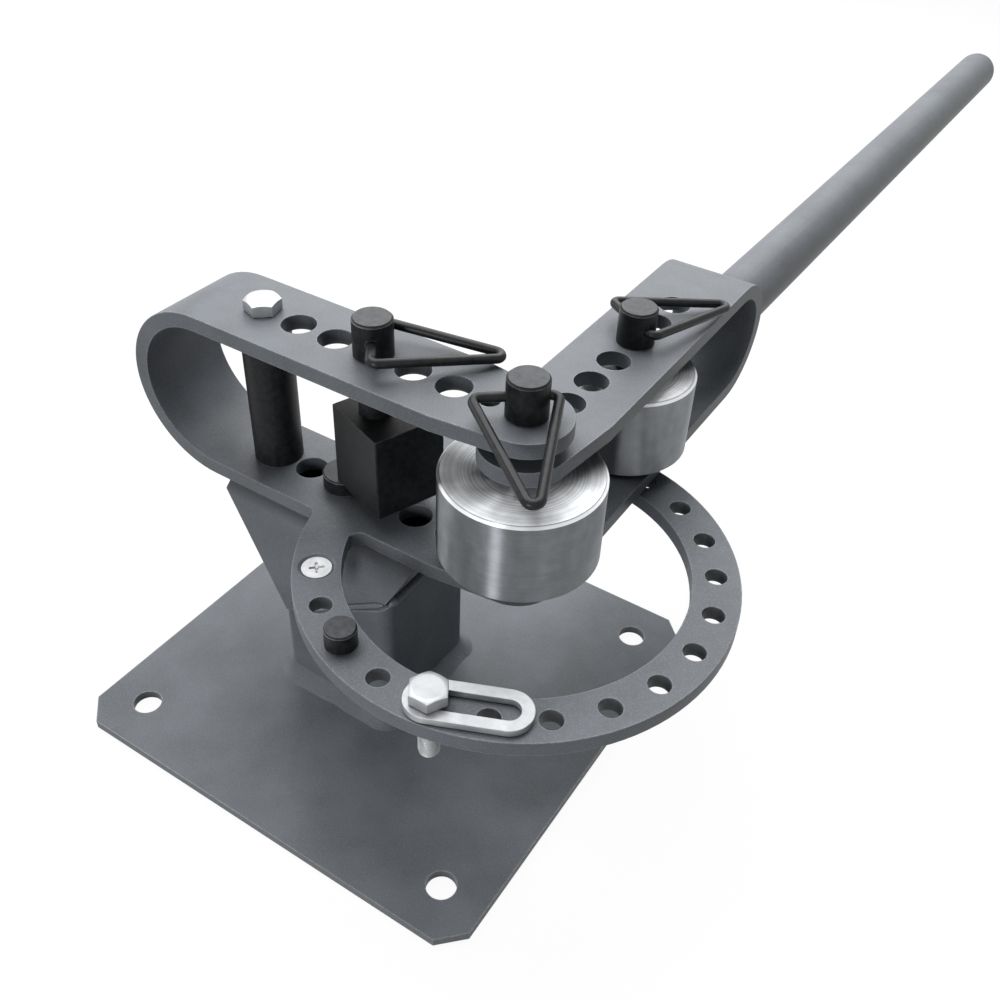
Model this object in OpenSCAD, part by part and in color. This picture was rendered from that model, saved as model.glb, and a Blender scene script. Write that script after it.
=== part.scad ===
// Bench metal bender.
// A base plate with a square post carries a flat-bar bow and an index ring.
// A second bow with a handle swings round the pivot pin between the straps
// of the first and rolls stock round the centre die. Sizes are in millimetres.
// The origin is the middle of the four anchor holes on the underside of the
// base plate, Z points up, X runs along the fixed bow and Y along the arm.

/* [Base] */
// side of the square base plate
base_w = 244; // [234:1:254]
// thickness of the base plate
base_t = 5; // [4:0.5:8]
// corner cut of the base plate
base_cut = 12; // [4:1:16]
// spacing of the anchor holes
anchor_span = 195; // [185:1:200]
// diameter of the anchor holes
anchor_d = 15; // [10:0.5:18]

/* [Post] */
// outside width of the square post
post_w = 70; // [64:1:74]
// wall of the square post
post_wall = 5; // [4:0.5:5.5]
// outside corner radius of the post
post_r = 6; // [5.5:0.5:8]
// distance from the pivot to the middle of the post
post_back = 87; // [80:1:95]
// height of the ring's top face above the floor
deck_z = 125; // [115:1:140]
// leg of the weld round the foot of the post
weld_leg = 5; // [3:0.5:7]

/* [Saddle] */
// distance from the pivot to the far end of the saddle
saddle_far = 160; // [150:1:164]
// distance from the pivot to the near end of the saddle
saddle_near = 41; // [36:1:48]
// depth of the saddle at the far side of the post
drop_far = 64; // [54:1:70]
// depth of the saddle at the near side of the post
drop_near = 26; // [20:1:40]
// plate of the saddle
plate_t = 5; // [3.5:0.5:6]
// outward lean of the saddle's cheeks, sideways per millimetre of depth
cheek_lean = 0.19; // [0.16:0.01:0.2]

/* [Straps] */
// width of the flat bar of both bows
strap_w = 50; // [46:1:50]
// thickness of the flat bar
strap_t = 8; // [7:0.5:9]
// radius of the round ends at the pivot
end_r = 21; // [18:0.5:23]
// distance from the pivot where the bar starts to narrow
taper_x = 33; // [28:1:36]
// clear height inside the fixed bow
bow_gap = 77; // [75:1:84]
// distance from the pivot to the far side of the fixed bow
bow_reach = 216; // [210:1:232]
// distance from the pivot to the first pin hole
hole_first = 37; // [36:0.5:38]
// spacing of the pin holes
hole_pitch = 22; // [21:0.5:23]
// diameter of the pin holes
hole_d = 16.8; // [16.6:0.1:17.4]

/* [Ring] */
// outside diameter of the index ring
ring_d = 210; // [204:1:214]
// inside diameter of the index ring
ring_in_d = 164; // [158:1:168]
// diameter of the index holes
ring_hole_d = 10.4; // [10.4:0.1:11.5]
// angle from one index hole to the next
ring_step = 15.7; // [15:0.1:16]
// fillet where the ring meets the strap
ring_fillet = 6; // [4:0.5:9]

/* [Arm] */
// clear height inside the arm bow
arm_gap = 53; // [50:0.5:55]
// distance from the pivot to the far side of the arm bow
arm_reach = 219; // [212:1:232]
// play between the arm and the fixed lower strap
arm_play = 1.2; // [0.4:0.1:2]
// outside diameter of the handle tube
handle_d = 34; // [30:0.5:38]
// wall of the handle tube
handle_wall = 3; // [2.5:0.5:5]
// length of handle beyond the arm bow
handle_len = 620; // [400:10:800]
// how far below the middle of the bend the handle starts
handle_drop = 6.5; // [0:0.5:9]
// downward tilt of the handle
handle_tilt = 1.7; // [0:0.1:3]

/* [Pins] */
// diameter of the pull pins
pin_d = 16; // [15.5:0.1:16.2]
// diameter of the pull pin heads
head_d = 19; // [18.5:0.5:21]
// height of the pull pin heads
head_h = 19; // [17:0.5:22]
// wire diameter of the clips
wire_d = 4.6; // [4:0.1:4.7]
// width of a clip at the pin
clip_w = 38; // [37.5:0.5:40]
// length of a clip
clip_len = 66; // [62:0.5:68]

/* [Dies] */
// diameter of the centre die
die_d = 76.2; // [70:0.1:78]
// height of both round dies
die_h = 44.5; // [40:0.5:46]
// diameter of the roller die on the arm
roller_d = 66; // [50:0.5:68]
// play between a round die and the strap under it
die_play = 1.2; // [0.4:0.1:2]
// side of the square block
block_w = 38; // [34:0.5:40]
// height of the square block
block_h = 45.5; // [40:0.5:50]
// offset of the block's middle from its pin, across
block_dx = 3.2; // [0:0.1:4]
// offset of the block's middle from its pin, along
block_dy = 4.4; // [0:0.1:5]
// turn of the block on its pin
block_turn = -20; // [-40:1:40]

/* [Fittings] */
// diameter of the spacer post in the fixed bow
spacer_d = 25; // [22:0.5:28]
// across flats of the hex bolts
hex_af = 16; // [15.5:0.5:17]
// thread diameter of the hex bolts
bolt_d = 9.8; // [9:0.1:9.8]
// length of the slotted link
link_len = 55; // [48:0.5:58]
// width of the slotted link
link_w = 22; // [19:0.5:23]
// thickness of the slotted link
link_t = 3.5; // [2.5:0.25:4.5]
// diameter of the stop pin head on the ring
stop_d = 14.7; // [13:0.1:16]
// height of the stop pin head on the ring
stop_h = 10; // [8:0.5:12]
// diameter of the stop head under the block
rest_d = 22; // [19:0.5:23]

/* [Hidden] */
$fn = 96;
gap = 0.3;
lash = 0.05;
bite = 0.3;
pivot_x = 72;
hook_r = 3.2;
wire_steps = 8;
wire_sides = 16;
low_z = deck_z - strap_t;
bow_r = bow_gap / 2 + strap_t;
top_z = deck_z + bow_gap + strap_t;
arm_z = deck_z + arm_play;
arm_h = arm_gap + 2 * strap_t;
arm_r = arm_h / 2;
arm_top = arm_z + arm_h;
ring_row = (ring_d + ring_in_d) / 4;
block_hole = hole_first + 2 * hole_pitch;
rest_hole = hole_first + 3 * hole_pitch;
spacer_hole = hole_first + 5 * hole_pitch;
roller_hole = hole_first + 3 * hole_pitch;
screw_a = -143.5;
stop_a = screw_a + 2 * ring_step;
bolt_a = screw_a + 4 * ring_step;
link_a = 23.6;
rest_h = 8.4;
post_x = pivot_x - post_back;
die_z = arm_z + strap_t + die_play;
block_z = deck_z + rest_h + gap;
// corners of the saddle, seen from the front
sad_l = pivot_x - saddle_far;
sad_r = pivot_x - saddle_near;
cut_l = post_x - post_w / 2;
cut_r = post_x + post_w / 2;
cut_lz = low_z - drop_far;
cut_rz = low_z - drop_near;
cut_rise = (cut_rz - cut_lz) / post_w;
foot_in = 4;
nose_w = 2.7;
nose_h = 6;

paint = "#6b7178";
black = "#1c1d1f";
zinc = "#c9ccd1";
steel = "#b4b6b9";

// rounded square made of true arcs
module soft_square(w, r) {
  square([w, w - 2 * r], center = true);
  square([w - 2 * r, w], center = true);
  for (i = [-1, 1], j = [-1, 1])
    translate([i * (w / 2 - r), j * (w / 2 - r)]) circle(r);
}

// strap from x = -far to a narrowed round end at the pivot, h high
module strap_plan(far, h) {
  reach = sqrt(taper_x * taper_x + strap_w * strap_w / 4);
  a = atan2(strap_w / 2, -taper_x) - acos(end_r / reach);
  tx = end_r * cos(a);
  ty = end_r * sin(a);
  translate([-far, -strap_w / 2, 0]) cube([far - taper_x, strap_w, h]);
  linear_extrude(h) polygon([[-taper_x - 5, strap_w / 2], [-taper_x, strap_w / 2], [tx, ty],
    [0, 0], [tx, -ty], [-taper_x, -strap_w / 2], [-taper_x - 5, -strap_w / 2]]);
  cylinder(h = h, r = end_r);
}

// side view of a bow: two straps joined by a half round bend at x = -far
module bow_side(far, high) {
  r = high / 2;
  difference() {
    union() {
      translate([-far + r, 0]) square([far - r + end_r + 10, high]);
      translate([-far + r, r]) circle(r);
    }
    translate([-far + r, r]) circle(r - strap_t);
    translate([-far + r, strap_t]) square([far - r + end_r + 20, high - 2 * strap_t]);
  }
}

// bow standing on z = 0 with its bend at -x and its pivot at the origin
module bow(far, high) {
  intersection() {
    rotate([90, 0, 0]) translate([0, 0, -strap_w / 2 - 1])
      linear_extrude(strap_w + 2) bow_side(far, high);
    translate([0, 0, -1]) strap_plan(far + 10, high + 2);
  }
}

// corner fillet between the strap edge and the ring, outside or inside of it;
// its arc cuts both edges by a hair, so that no sliver is left
module ring_corner(side, inner) {
  r = inner ? ring_in_d / 2 : ring_d / 2;
  d = inner ? r - ring_fillet + bite : r + ring_fillet - bite;
  deep = inner ? r + 2 : r - 2;
  cy = strap_w / 2 + ring_fillet - bite;
  cx = -sqrt(d * d - cy * cy);
  edge_y = strap_w / 2 - 2;
  scale([1, side]) difference() {
    polygon([[-sqrt(deep * deep - edge_y * edge_y), edge_y], [cx, edge_y], [cx, cy],
      [cx * deep / d, cy * deep / d]]);
    translate([cx, cy]) circle(ring_fillet);
  }
}

module base_plate() {
  color(paint) difference() {
    linear_extrude(base_t) difference() {
      square(base_w, center = true);
      for (i = [-1, 1], j = [-1, 1])
        translate([i * base_w / 2, j * base_w / 2]) rotate(45)
          square(base_cut * sqrt(2), center = true);
    }
    for (i = [-1, 1], j = [-1, 1])
      translate([i * anchor_span / 2, j * anchor_span / 2, -1]) cylinder(h = base_t + 2, d = anchor_d);
  }
}

// everything above the sloping cut that carries the saddle
module above_cut() {
  translate([cut_l, 0, cut_lz]) rotate([0, -atan(cut_rise), 0])
    translate([-post_w, -post_w, 0]) cube([4 * post_w, 2 * post_w, deck_z]);
}

module post() {
  color(paint) difference() {
    union() {
      translate([post_x, 0, base_t]) linear_extrude(low_z - base_t) soft_square(post_w, post_r);
      hull() {
        translate([post_x, 0, base_t]) linear_extrude(0.2, $fn = 32)
          soft_square(post_w + 2 * weld_leg, post_r + weld_leg, $fn = 32);
        translate([post_x, 0, base_t + weld_leg]) linear_extrude(0.2, $fn = 32)
          soft_square(post_w + 0.6, post_r + 0.3, $fn = 32);
      }
    }
    translate([post_x, 0, base_t - 1]) linear_extrude(low_z)
      soft_square(post_w - 2 * post_wall, post_r - post_wall);
    above_cut();
  }
}

// outline of the saddle seen from the front, pulled in by inset at both ends
module saddle_side(inset) {
  foot_l = cut_l + foot_in;
  foot_r = cut_r - foot_in;
  foot_lz = cut_lz + cut_rise * foot_in;
  foot_rz = cut_rz - cut_rise * foot_in;
  dl = inset / sin(atan2(low_z - nose_h - foot_lz, foot_l - sad_l + nose_w));
  dr = inset / sin(atan2(low_z - foot_rz, sad_r - foot_r));
  polygon([[sad_l + inset, low_z], [sad_l - nose_w + dl, low_z - nose_h],
    [foot_l + dl, foot_lz + cut_rise * dl], [foot_r - dr, foot_rz - cut_rise * dr],
    [sad_r - dr, low_z]]);
}

// slab between two leaning planes, wider by grow on both sides
module saddle_wedge(grow) {
  h = low_z - cut_lz + plate_t;
  w = strap_w / 2 + grow;
  rotate([90, 0, 90]) translate([0, 0, sad_l - plate_t]) linear_extrude(sad_r - sad_l + 2 * plate_t)
    polygon([[-w, low_z], [w, low_z], [w + cheek_lean * h, low_z - h], [-w - cheek_lean * h, low_z - h]]);
}

// front view drawn as a prism, deep enough for the leaning cheeks
module saddle_prism() {
  rotate([90, 0, 0]) translate([0, 0, -post_w]) linear_extrude(2 * post_w) children();
}

module saddle_sides() {
  color(paint) difference() {
    intersection() {
      saddle_prism() saddle_side(0);
      saddle_wedge(0);
    }
    saddle_wedge(-plate_t);
  }
}

module saddle_ends() {
  color(paint) intersection() {
    saddle_prism() difference() {
      saddle_side(0);
      saddle_side(plate_t);
    }
    saddle_wedge(-plate_t);
  }
}

// holes of one strap, drawn along -x from the pivot
module pin_row(count, h) {
  cylinder(h = h, d = hole_d);
  for (k = [0 : count - 1]) translate([-hole_first - k * hole_pitch, 0, 0]) cylinder(h = h, d = hole_d);
}

module fixed_bow() {
  color(paint) translate([pivot_x, 0, low_z]) difference() {
    union() {
      bow(bow_reach, 2 * bow_r);
      linear_extrude(strap_t) {
        difference() {
          circle(d = ring_d, $fn = 180);
          circle(d = ring_in_d, $fn = 180);
        }
        for (s = [-1, 1]) {
          ring_corner(s, false);
          ring_corner(s, true);
        }
      }
    }
    // lower strap: pin holes and the plug hole of the spacer
    translate([0, 0, -1]) pin_row(6, strap_t + 2);
    // upper strap: pin holes, one small hole and the spacer bolt
    translate([0, 0, 2 * bow_r - strap_t - 1]) {
      pin_row(5, strap_t + 2);
      translate([-hole_first / 2, 0, 0]) cylinder(h = strap_t + 2, d = 9.4);
      translate([-spacer_hole, 0, 0]) cylinder(h = strap_t + 2, d = bolt_d + 0.6);
    }
    for (k = [0 : 18]) rotate(screw_a + k * ring_step) translate([ring_row, 0, -1])
      cylinder(h = strap_t + 2, d = ring_hole_d);
    rotate(screw_a) translate([ring_row, 0, strap_t - 4.2])
      cylinder(h = 4.21, d1 = ring_hole_d - 0.4, d2 = 17.5);
  }
}

module spacer_post() {
  color(black) translate([pivot_x - spacer_hole, 0, 0]) difference() {
    union() {
      translate([0, 0, deck_z]) cylinder(h = bow_gap, d = spacer_d);
      translate([0, 0, low_z]) cylinder(h = strap_t + 1, d = hole_d - 0.1);
    }
    translate([0, 0, deck_z + bow_gap - 32]) cylinder(h = 33, d = bolt_d + 0.1);
  }
}

// hex head bolt with its head's seat at z = 0 and its thread below
module hex_bolt(len) {
  ac = hex_af / cos(30);
  intersection() {
    cylinder(h = 6.4, d = ac, $fn = 6);
    union() {
      cylinder(h = 5.3, d = ac + 1);
      translate([0, 0, 5.3]) cylinder(h = 1.11, d1 = ac + 1, d2 = hex_af - 1.2);
    }
  }
  translate([0, 0, -len + 1]) cylinder(h = len - 0.99, d = bolt_d);
  translate([0, 0, -len]) cylinder(h = 1.01, d1 = bolt_d - 2, d2 = bolt_d);
}

module spacer_bolt() {
  color(zinc) translate([pivot_x - spacer_hole, 0, top_z]) rotate(12) hex_bolt(36);
}

// point on the index circle of the ring
module on_ring(a) {
  translate([pivot_x, 0, 0]) rotate(a) translate([ring_row, 0, 0]) children();
}

module ring_screw() {
  color(zinc) on_ring(screw_a) difference() {
    union() {
      translate([0, 0, deck_z - 4.4]) cylinder(h = 3, d1 = bolt_d - 0.4, d2 = 14.6);
      translate([0, 0, deck_z - 1.41]) cylinder(h = 0.7, d1 = 14.6, d2 = 14.2);
      translate([0, 0, deck_z - 24]) cylinder(h = 20, d = bolt_d - 0.6);
    }
    for (a = [7.5, 97.5]) rotate(a) translate([-3.6, -0.7, deck_z - 1.9]) cube([7.2, 1.4, 4]);
    translate([0, 0, deck_z - 3]) cylinder(h = 4, d1 = 1, d2 = 4.6);
  }
}

module link_bolt() {
  color(zinc) on_ring(bolt_a) translate([0, 0, deck_z + link_t + 2 * gap]) rotate(-8) hex_bolt(35);
}

module slotted_link() {
  run = link_len - link_w;
  color(zinc) on_ring(bolt_a) rotate(link_a - bolt_a) translate([0, 0, deck_z + gap])
    linear_extrude(link_t) difference() {
      union() {
        circle(d = link_w);
        translate([run, 0]) circle(d = link_w);
        translate([0, -link_w / 2]) square([run, link_w]);
      }
      circle(d = bolt_d + 1);
      translate([run, 0]) circle(d = bolt_d + 1);
      translate([0, -bolt_d / 2 - 0.5]) square([run, bolt_d + 1]);
    }
}

// short stop with a plain head, seat at z = 0
module stop(d, h, shank, deep) {
  cylinder(h = h - 0.8, d = d);
  translate([0, 0, h - 0.81]) cylinder(h = 0.81, d1 = d, d2 = d - 1.6);
  translate([0, 0, -deep]) cylinder(h = deep + 0.01, d = shank);
}

module stop_pin() {
  color(black) on_ring(stop_a) translate([0, 0, deck_z + gap]) stop(stop_d, stop_h, ring_hole_d - 0.6, strap_t + 4);
}

module block_rest() {
  color(black) translate([pivot_x - rest_hole, 0, deck_z]) stop(rest_d, rest_h, pin_d, strap_t + 2);
}

module arm_bow() {
  color(paint) translate([pivot_x, 0, arm_z]) rotate(-90) difference() {
    bow(arm_reach, arm_h);
    translate([0, 0, -1]) pin_row(6, arm_h + 2);
  }
}

module handle_tube() {
  x0 = arm_reach - arm_r;
  color(paint) translate([pivot_x, x0, arm_z + arm_r]) difference() {
    translate([0, arm_r, -handle_drop]) rotate([-90 - handle_tilt, 0, 0]) difference() {
      translate([0, 0, 10 - arm_r]) cylinder(h = arm_r - 10 + handle_len, d = handle_d);
      translate([0, 0, -arm_r]) cylinder(h = arm_r + handle_len + 1, d = handle_d - 2 * handle_wall);
    }
    translate([-strap_w, 0, 0]) rotate([0, 90, 0]) cylinder(h = 2 * strap_w, r = arm_r, $fn = 180);
  }
}

// pull pin with its head's seat at z = 0; turn is the direction of its cross hole
module pull_pin(len, turn) {
  difference() {
    union() {
      cylinder(h = head_h - 1, d = head_d);
      translate([0, 0, head_h - 1.01]) cylinder(h = 1.01, d1 = head_d, d2 = head_d - 2);
      translate([0, 0, -len + 1.5]) cylinder(h = len - 1.49, d = pin_d);
      translate([0, 0, -len]) cylinder(h = 1.51, d1 = pin_d - 3, d2 = pin_d);
    }
    translate([0, 0, head_h / 2]) rotate([90, 0, turn + 90]) translate([0, 0, -head_d])
      cylinder(h = 2 * head_d, d = wire_d + 2 * gap);
  }
}

// closed wire ring with three bends, its base along x through the pin and its tip at -y
module clip() {
  half = clip_w / 2;
  b = atan2(clip_len, half);
  t = hook_r * tan((180 - b) / 2);
  bends = [[half - t, -hook_r, b - 90, 180 - b], [t - half, -hook_r, 90, 180 - b],
    [0, -clip_len + hook_r / cos(b), 270 - b, 2 * b]];
  rings = 3 * (wire_steps + 1);
  function at(k, j, m) = let (c = bends[k], a = c[2] + c[3] * j / wire_steps,
    r = hook_r + wire_d / 2 * cos(360 * m / wire_sides))
    [c[0] + r * cos(a), c[1] + r * sin(a), wire_d / 2 * sin(360 * m / wire_sides)];
  function id(i, m) = (i % rings) * wire_sides + m % wire_sides;
  polyhedron([for (k = [0 : 2], j = [0 : wire_steps], m = [0 : wire_sides - 1]) at(k, j, m)],
    [for (i = [0 : rings - 1], m = [0 : wire_sides - 1])
      [id(i, m), id(i, m + 1), id(i + 1, m + 1), id(i + 1, m)]]);
}

// clip in a pin standing at the origin: its base along turn, slid by slide, dropped by dip
module hung_clip(turn, slide, dip) {
  translate([0, 0, head_h / 2]) rotate(turn) rotate([dip, 0, 0]) translate([slide, 0, 0]) clip();
}

module pivot_pin() {
  color(black) translate([pivot_x, 0, top_z + gap]) pull_pin(bow_gap + 2 * strap_t + 4, 40);
}

module pivot_clip() {
  color(black) translate([pivot_x, 0, top_z + gap]) hung_clip(40, -5.2, 11.5);
}

module block_pin() {
  color(black) translate([pivot_x - block_hole, 0, top_z + gap]) pull_pin(bow_gap + 2 * strap_t + 4, 124);
}

module block_clip() {
  color(black) translate([pivot_x - block_hole, 0, top_z + gap]) hung_clip(124, -5, 6.2);
}

module roller_pin() {
  color(black) translate([pivot_x, roller_hole, arm_top + gap]) pull_pin(arm_h, 150);
}

module roller_clip() {
  color(black) translate([pivot_x, roller_hole, arm_top + gap]) hung_clip(150, 5.2, 6);
}

// round die with turned chamfers and a bore that runs on the pin
module round_die(d) {
  c = 1.4;
  difference() {
    union() {
      translate([0, 0, c]) cylinder(h = die_h - 2 * c, d = d, $fn = 180);
      cylinder(h = c + 0.01, d1 = d - 2 * c, d2 = d, $fn = 180);
      translate([0, 0, die_h - c - 0.01]) cylinder(h = c + 0.01, d1 = d, d2 = d - 2 * c, $fn = 180);
    }
    translate([0, 0, -1]) cylinder(h = die_h + 2, d = pin_d + 2 * lash);
  }
}

module centre_die() {
  color(steel) translate([pivot_x, 0, die_z]) round_die(die_d);
}

module roller_die() {
  color(steel) translate([pivot_x, roller_hole, die_z]) round_die(roller_d);
}

module square_block() {
  color(black) translate([pivot_x - block_hole, 0, block_z]) rotate(block_turn) difference() {
    translate([block_dx, block_dy, 0]) linear_extrude(block_h) soft_square(block_w, 0.8, $fn = 24);
    translate([0, 0, -1]) cylinder(h = block_h + 2, d = pin_d + 2 * lash);
  }
}

base_plate();
post();
saddle_sides();
saddle_ends();
fixed_bow();
spacer_post();
spacer_bolt();
ring_screw();
link_bolt();
slotted_link();
stop_pin();
block_rest();
arm_bow();
handle_tube();
pivot_pin();
pivot_clip();
block_pin();
block_clip();
roller_pin();
roller_clip();
centre_die();
roller_die();
square_block();
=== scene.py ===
"""Looks of a bench metal bender: powder coat, black oxide, zinc and turned steel on its frame."""

import math

import bmesh
import bpy
from mathutils import Matrix, Vector


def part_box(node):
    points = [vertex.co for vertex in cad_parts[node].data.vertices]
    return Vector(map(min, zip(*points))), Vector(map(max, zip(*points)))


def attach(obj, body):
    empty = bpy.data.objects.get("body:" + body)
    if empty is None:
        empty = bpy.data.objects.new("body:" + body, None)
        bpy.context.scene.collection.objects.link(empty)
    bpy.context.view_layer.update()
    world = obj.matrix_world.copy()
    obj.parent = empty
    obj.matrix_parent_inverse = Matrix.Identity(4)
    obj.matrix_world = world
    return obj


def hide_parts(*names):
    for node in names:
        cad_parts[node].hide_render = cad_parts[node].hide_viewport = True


bl_info = {
    "name": "Bench metal bender",
    "version": (1, 0, 0),
    "blender": (4, 5, 0),
    "location": "3D View > Sidebar > Metal bender",
    "description": "Dresses the metal bender's frame in its finishes and sets up its stage",
    "category": "Object",
}

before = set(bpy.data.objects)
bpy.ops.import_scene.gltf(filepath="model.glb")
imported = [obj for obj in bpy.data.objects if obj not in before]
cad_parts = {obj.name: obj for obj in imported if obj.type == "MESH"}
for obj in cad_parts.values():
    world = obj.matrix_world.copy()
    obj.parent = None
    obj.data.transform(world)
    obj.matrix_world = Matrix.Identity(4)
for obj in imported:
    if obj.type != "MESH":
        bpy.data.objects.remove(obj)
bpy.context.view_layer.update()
MM = 0.001

PAINTED_STAND = ("base_plate", "post", "saddle_sides", "saddle_ends", "fixed_bow")
PAINTED_ARM = ("arm_bow", "handle_tube")
DIES = ("centre_die", "roller_die")
# turned black node: its finish
TURNED_BLACK = {
    "spacer_post": "black_oxide_steel",
    "block_rest": "black_oxide_wear_and_sheen_top",
    "stop_pin": "black_oxide_wear_and_sheen_top",
    "pivot_pin": "black_oxide_wear_and_sheen_top",
    "block_pin": "black_oxide_wear_and_sheen_top",
    "roller_pin": "black_oxide_wear_and_sheen_top",
}
# black finish: upper faces painted grey or not, partly wear and partly a painted sheen from above,
# index of its oiled layer, least roughness
BLACKS = {
    "black_oxide_steel": (False, 1.28, 0.38),
    "black_oxide_wear_and_sheen_top": (True, 1.28, 0.36),
    "black_oxide_wire": (False, 1.34, 0.26),
}

# Places and sizes of the frame, in millimetres and degrees
PIVOT_X = 72.0
# top and underside of the lower strap, top of the upper strap, half a strap's width
DECK_Z = 125.0
LOW_Z = 117.0
TOP_Z = 210.0
STRAP_HALF = 25.0
# square post: its middle, half its width and its outer corner
POST_MID = -15.0
POST_HALF = 35.0
POST_CORNER = 6.0
PLATE_T = 5.0
# lower edge of the cheeks as x and z at its two ends, and their spread for each millimetre down
SADDLE_FOOT = ((-46.0, 55.2), (16.0, 88.8))
CHEEK_LEAN = 0.19
# round of the arm bow, and the handle that meets it
ARM_BEND_Y = 184.5
ARM_BEND_Z = 160.7
ARM_BEND_R = 34.5
HANDLE_R = 17.0
HANDLE_DROP = 6.5
HANDLE_TILT = 1.7
# radius of the ring's hole row and the turn of the link's bolt on it, then the spacer's bolt
RING_ROW = 93.5
BOLT_ANGLE = -80.7
LINK_BOLT_Z = DECK_Z + 4.1
SPACER_X = -75.0
# hex bolts: across the flats, head height, thread, pitch and plain neck
HEX_FLATS = 16.0
HEX_HEAD = 6.4
THREAD_D = 9.8
THREAD_PITCH = 1.5
BOLT_NECK = 9.0
# weld sizes: leg of the post's foot, radius of the other beads, ripple pitch, step along a bead
FOOT_LEG = 7.2
CHEEK_BEAD = 1.8
SADDLE_BEAD = 2.4
HANDLE_BEAD = 2.6
RIPPLE = 3.0
BEAD_STEP = 0.75
# clip: turn about the pin, slide along its wire, dip, and the place of its hole
CLIPS = {
    "pivot_clip": (40.0, -5.2, 11.5, (72.0, 0.0, 219.8)),
    "block_clip": (124.0, -5.0, 6.2, (-9.0, 0.0, 219.8)),
    "roller_clip": (150.0, 5.2, 6.0, (72.0, 103.0, 205.0)),
}

# Stage, in metres, degrees and watts
CAMERA_PLACE = (0.257, -0.326, 0.4741)
CAMERA_AZIMUTH = -31.02
CAMERA_DIP = 39.72
CAMERA_ROLL = 2.77
FLOOR_SIZE = 16.0
# just under the plate, so that the two faces don't meet
FLOOR_Z = -0.0006
# share of white that the floor shows by itself, beside the light that falls on it
FLOOR_GLOW = 0.94
LAMP_TARGET = Vector((0.02, 0.03, 0.13))
# soft box: place, width, height, power
LAMPS = {
    "back_left": ((-0.75, 1.05, 1.0), 0.9, 0.9, 8.0),
    "back": ((-0.1, 1.3, 0.9), 0.7, 0.8, 3.5),
    "top_back": ((-0.02, 0.75, 1.3), 0.7, 0.8, 6.4),
    "top": ((-0.25, 0.0, 1.5), 0.7, 0.8, 5.2),
    "top_left": ((-0.6, 0.2, 1.4), 0.8, 0.8, 8.0),
    "left_front": ((-1.4, -0.3, 0.6), 0.7, 0.7, 4.0),
    "front_strip": ((0.15, -1.3, 0.33), 0.26, 0.6, 7.0),
}


# Colours and nodes


def linear(hex_colour, alpha=1.0):
    """sRGB hex text to the linear values a socket takes."""
    out = []
    for i in (1, 3, 5):
        c = int(hex_colour[i : i + 2], 16) / 255
        out.append(c / 12.92 if c <= 0.04045 else ((c + 0.055) / 1.055) ** 2.4)
    return (*out, alpha)


def add(material, kind, links=None, **settings):
    """One node with its settings and links.

    A setting names a property of the node, or with in_NAME or in_INDEX an input, and stops gives
    a colour ramp its (place, colour) pairs. A colour is an sRGB hex text or already linear. A
    link's source is a socket, or a node for its first output.
    """
    tree = material.node_tree
    node = tree.nodes.new(kind)
    for key, value in settings.items():
        if isinstance(value, str) and value.startswith("#"):
            value = linear(value)
        if key == "stops":
            elements = node.color_ramp.elements
            while len(elements) < len(value):
                elements.new(0.5)
            for element, (place, colour) in zip(elements, value):
                element.position = place
                element.color = linear(colour) if isinstance(colour, str) else colour
        elif key.startswith("in_"):
            key = key[3:].replace("_", " ")
            node.inputs[int(key) if key.isdigit() else key].default_value = value
        else:
            setattr(node, key, value)
    for name, source in (links or {}).items():
        tree.links.new(getattr(source, "outputs", [source])[0], node.inputs[name])
    return node


def new_material(name):
    """Empty node material."""
    material = bpy.data.materials.new(name)
    material.use_nodes = True
    material.node_tree.nodes.clear()
    return material


def edge_mask(material, width_mm):
    """One on outer edges narrower than width_mm: where a coat is thin or worn, and on the powder coat
    also a painted highlight.
    """
    bevel = add(material, "ShaderNodeBevel", samples=4, in_Radius=width_mm * MM)
    normal = add(material, "ShaderNodeNewGeometry").outputs["Normal"]
    dot = add(material, "ShaderNodeVectorMath", {0: bevel, 1: normal}, operation="DOT_PRODUCT")
    return add(material, "ShaderNodeMapRange", {0: dot.outputs["Value"]},
        in_1=0.995, in_2=0.86, in_3=0.0, in_4=1.0)


def facing_up(material, lo, hi):
    """Nought where the object's own normal rises by lo and one where by hi, which may be lower."""
    normal = add(material, "ShaderNodeTexCoord").outputs["Normal"]
    split = add(material, "ShaderNodeSeparateXYZ", {0: normal})
    return add(material, "ShaderNodeMapRange", {0: split.outputs[2]},
        in_1=lo, in_2=hi, in_3=0.0, in_4=1.0)


def painted_shade_mask(material, reach_mm):
    """Painted shade: highest in bores, gaps and corners narrower than reach_mm, where less light
    reaches.
    """
    hollow = add(material, "ShaderNodeAmbientOcclusion", samples=6, in_Distance=reach_mm * MM)
    hidden = add(material, "ShaderNodeMapRange", {0: hollow.outputs["AO"]},
        in_1=0.6, in_2=0.2, in_3=0.0, in_4=0.85)
    # the painted shade is a third as strong on upper faces
    upper_share = add(material, "ShaderNodeMapRange", {0: facing_up(material, 0.3, 0.8)},
        in_3=1.0, in_4=0.33)
    return add(material, "ShaderNodeMath", {0: hidden, 1: upper_share}, operation="MULTIPLY")


def height_mask(material, low_mm, high_mm):
    """Nought at low_mm in the object's own frame and one at high_mm, which may be the lower."""
    place = add(material, "ShaderNodeTexCoord").outputs["Object"]
    split = add(material, "ShaderNodeSeparateXYZ", {0: place})
    return add(material, "ShaderNodeMapRange", {0: split.outputs[2]},
        in_1=low_mm * MM, in_2=high_mm * MM)
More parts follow.
